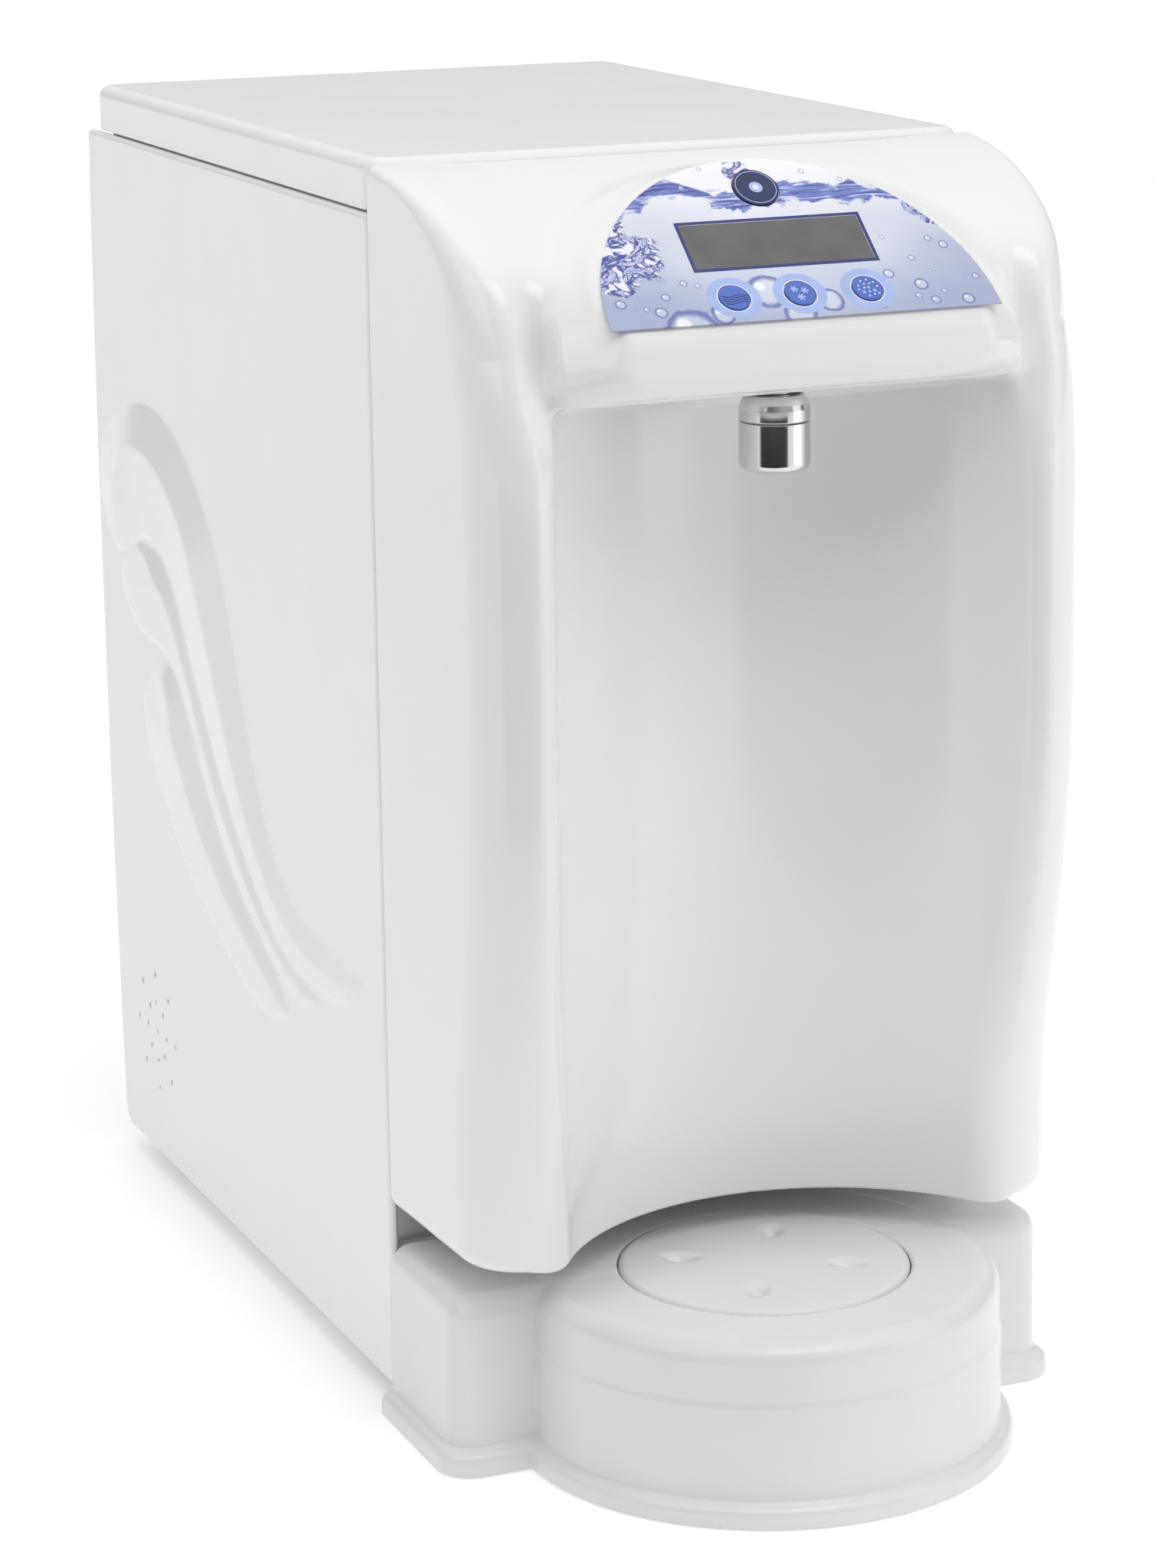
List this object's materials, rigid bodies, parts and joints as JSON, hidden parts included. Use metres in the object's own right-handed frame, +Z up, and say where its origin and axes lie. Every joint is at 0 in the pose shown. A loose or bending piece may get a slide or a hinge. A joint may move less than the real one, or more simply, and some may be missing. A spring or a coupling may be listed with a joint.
{
  "type": "countertop water dispenser",
  "caption": "White countertop water dispenser with a curved bottle niche, a chrome spout, a sloping control panel with keys, and a pull-out drip tray.",
  "frame": {"origin": "centre of the machine's footprint, on the surface that it stands on", "axes": "+Z up, -Y towards the user, so the niche, spout and keys face -Y, and +X is to the right as seen from the front"},
  "size_m": [0.263, 0.5496, 0.4943],
  "materials": {
    "shell": "glossy white ABS",
    "tray": "white moulded plastic, softer gloss than the body",
    "overlay": "printed polyester film, pale blue with a water pattern",
    "display": "grey display window with a dark blue border",
    "key_dark": "dark blue printed key",
    "key_blue": "mid blue printed key",
    "chrome": "polished chrome plate",
    "steel": "bright zinc-plated or stainless sheet and wire",
    "fins": "plain aluminium fins and folded case",
    "black_paint": "satin black paint",
    "black_plastic": "fine matt black",
    "rubber": "matt black rubber",
    "copper": "bare copper tube",
    "brass": "machined brass",
    "foam": "rigid cream foam",
    "board": "green circuit board",
    "hose": "milky food-grade tube",
    "cable": "grey flat cable"
  },
  "bodies": {
    "chassis": {"left_side_panel": "shell", "right_side_panel": "shell", "front_fascia": "shell", "control_overlay": "overlay", "display_window": "display", "nozzle_collar": "chrome", "nozzle_cap": "chrome", "base_plate": "steel", "front_frame": "steel", "rear_panel": "steel", "rear_screw_1": "steel", "rear_screw_2": "steel", "fan_guard": "steel", "carbonator": "steel", "compressor_bracket": "steel", "condenser": "fins", "power_supply": "fins", "compressor": "black_paint", "pump_motor": "black_paint", "display_module": "black_plastic", "nozzle_insert": "black_plastic", "fan_frame": "black_plastic", "agitator_motor": "black_plastic", "thermostat": "black_plastic", "solenoid_valve_1": "black_plastic", "solenoid_valve_2": "black_plastic", "solenoid_valve_3": "black_plastic", "power_inlet": "black_plastic", "switch_frame": "black_plastic", "foot_1": "rubber", "foot_2": "rubber", "foot_3": "rubber", "foot_4": "rubber", "filter_drier": "copper", "suction_line": "copper", "discharge_line": "copper", "evaporator_coil": "copper", "pump_head": "brass", "valve_block": "brass", "water_inlet_fitting": "brass", "gas_inlet_fitting": "brass", "ice_bank_tank": "foam", "ice_bank_cover": "foam", "control_board": "board", "nozzle_tube": "hose", "still_water_tube": "hose", "sparkling_water_tube": "hose", "inlet_hose": "hose", "gas_tube": "hose", "ribbon_cable": "cable"},
    "lid": {"top_lid": "shell"},
    "tray": {"drip_tray": "tray"},
    "grate": {"drip_grate": "tray"},
    "stop_key": {"button_stop_prog": "key_dark"},
    "still_ambient_key": {"button_still_ambient": "key_blue"},
    "still_cold_key": {"button_still_cold": "key_blue"},
    "sparkling_key": {"button_sparkling_cold": "key_blue"},
    "fan": {"fan_rotor": "black_plastic"},
    "agitator": {"agitator_impeller": "steel"},
    "rocker": {"power_switch": "black_plastic"}
  },
  "joints": [
    {"name": "lid_lift", "type": "slide", "parent": "chassis", "child": "lid", "axis": [0, 0, 1], "range_m": [0, 0.12]},
    {"name": "tray_slide", "type": "slide", "parent": "chassis", "child": "tray", "axis": [0, -1, 0], "range_m": [0, 0.12]},
    {"name": "grate_lift", "type": "slide", "parent": "tray", "child": "grate", "axis": [0, 0, 1], "range_m": [0, 0.012]},
    {"name": "stop_press", "type": "slide", "parent": "chassis", "child": "stop_key", "axis": [0, 0.6428, -0.766], "range_m": [0, 0.0006], "stiffness_N_per_m": 800, "springref_m": -0.0004},
    {"name": "still_ambient_press", "type": "slide", "parent": "chassis", "child": "still_ambient_key", "axis": [0, 0.6428, -0.766], "range_m": [0, 0.0006], "stiffness_N_per_m": 800, "springref_m": -0.0004},
    {"name": "still_cold_press", "type": "slide", "parent": "chassis", "child": "still_cold_key", "axis": [0, 0.6428, -0.766], "range_m": [0, 0.0006], "stiffness_N_per_m": 800, "springref_m": -0.0004},
    {"name": "sparkling_press", "type": "slide", "parent": "chassis", "child": "sparkling_key", "axis": [0, 0.6428, -0.766], "range_m": [0, 0.0006], "stiffness_N_per_m": 800, "springref_m": -0.0004},
    {"name": "fan_spin", "type": "hinge", "parent": "chassis", "child": "fan", "pos_m": [0.035, 0.2433, 0.3], "axis": [0, 1, 0], "continuous": true},
    {"name": "agitator_spin", "type": "hinge", "parent": "chassis", "child": "agitator", "pos_m": [0.072, -0.0612, 0.31], "axis": [0, 0, 1], "continuous": true},
    {"name": "rocker_tip", "type": "hinge", "parent": "chassis", "child": "rocker", "pos_m": [-0.085, 0.2618, 0.106], "axis": [1, 0, 0], "range_deg": [0, 16]}
  ]
}
